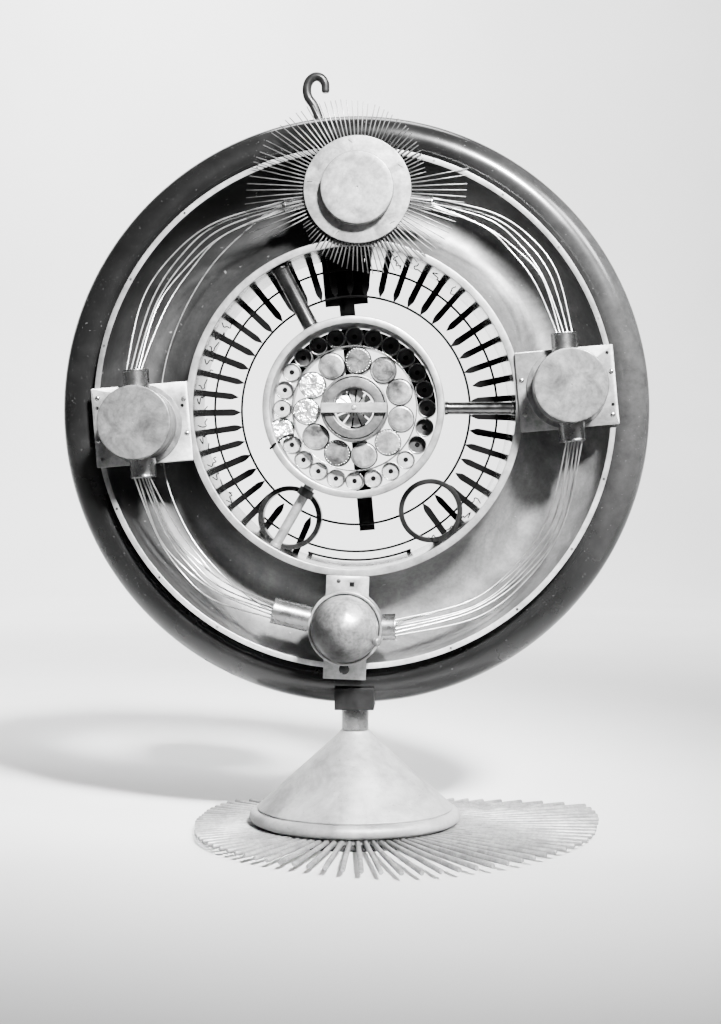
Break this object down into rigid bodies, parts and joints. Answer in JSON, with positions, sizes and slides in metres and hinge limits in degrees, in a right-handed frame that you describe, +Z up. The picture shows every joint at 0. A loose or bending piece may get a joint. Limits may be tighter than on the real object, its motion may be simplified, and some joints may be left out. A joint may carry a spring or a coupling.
{
  "type": "acoustic demonstration wheel",
  "caption": "Upright round-tube ring on a weighted conical foot, with a ring-shaped trough, wired stations, pointed reeds and a bladed hub.",
  "frame": {"origin": "on the stem's axis, in the plane that the foot stands on", "axes": "+Z up, -Y towards the wheel's front, +X to the right seen from the front"},
  "size_m": [0.6, 0.3844, 0.7859],
  "materials": {
    "black_lacquer": "black French polish on turned wood, high gloss",
    "dark_iron": "blackened iron, satin",
    "foot_metal": "ground and polished iron",
    "trough_metal": "sheet brass, dull and patchy",
    "satin_brass": "satin brass, handled",
    "dark_tube": "black varnished tube",
    "polished_steel": "turned and polished",
    "steel_wire": "drawn wire"
  },
  "bodies": {
    "foot": {"base_plate": "dark_iron", "rod_fan": "foot_metal", "base_cone": "foot_metal", "stem": "dark_iron"},
    "fan": {"fan": "polished_steel"},
    "top_cap": {"top_cap": "polished_steel"},
    "left_cap": {"left_cap": "polished_steel"},
    "right_cap": {"right_cap": "polished_steel"},
    "globe_key": {"globe_key": "polished_steel"},
    "wheel": {"saddle": "dark_iron", "ring_tube": "black_lacquer", "hook": "polished_steel", "trough": "trough_metal", "bracket_45": "dark_iron", "bracket_135": "dark_iron", "bracket_225": "dark_iron", "bracket_315": "dark_iron", "inner_ring": "satin_brass", "reed_comb": "dark_iron", "bottom_strip": "dark_iron", "wire_hoop_outer": "steel_wire", "wire_hoop_inner": "steel_wire", "spoke_right": "satin_brass", "spoke_upper": "dark_tube", "spoke_lower": "satin_brass", "tube_hoop_left": "dark_tube", "tube_hoop_right": "dark_tube", "rear_bar": "dark_iron", "rear_post": "polished_steel", "hub_shell": "satin_brass", "tube_bank": "polished_steel", "disc_bank": "polished_steel", "sleeve_band": "satin_brass", "boss_ring": "satin_brass", "bearing_bar": "polished_steel", "left_plate": "satin_brass", "left_drum": "polished_steel", "left_nozzle_upper": "polished_steel", "left_nozzle_lower": "polished_steel", "right_plate": "satin_brass", "right_drum": "polished_steel", "right_nozzle_upper": "polished_steel", "right_nozzle_lower": "polished_steel", "top_chamber": "dark_iron", "pin_wheel": "steel_wire", "top_flange": "satin_brass", "top_nozzle_left": "polished_steel", "top_nozzle_right": "polished_steel", "bottom_plate": "satin_brass", "globe_cup": "satin_brass", "globe": "polished_steel", "bottom_nozzle_left": "polished_steel", "bottom_nozzle_right": "polished_steel", "wires_upper_left": "steel_wire", "wires_upper_right": "steel_wire", "wires_lower_left": "steel_wire", "wires_lower_right": "steel_wire"}
  },
  "joints": [
    {"name": "wheel_swivel", "type": "hinge", "parent": "foot", "child": "wheel", "pos_m": [0, 0, 0.13], "axis": [0, 0, 1], "continuous": true},
    {"name": "fan_spin", "type": "hinge", "parent": "wheel", "child": "fan", "pos_m": [0, -0.0215, 0.433], "axis": [0, -1, 0], "continuous": true},
    {"name": "top_cap_turn", "type": "hinge", "parent": "wheel", "child": "top_cap", "pos_m": [0.00381, -0.045, 0.65147], "axis": [0, -1, 0], "continuous": true},
    {"name": "left_cap_pull", "type": "slide", "parent": "wheel", "child": "left_cap", "axis": [0, -1, 0], "range_m": [0, 0.016]},
    {"name": "right_cap_pull", "type": "slide", "parent": "wheel", "child": "right_cap", "axis": [0, -1, 0], "range_m": [0, 0.016]},
    {"name": "globe_key_turn", "type": "hinge", "parent": "wheel", "child": "globe_key", "pos_m": [0.02449, -0.09011, 0.20234], "axis": [0.8465, -0.4502, -0.2842], "range_deg": [-90, 90]}
  ]
}
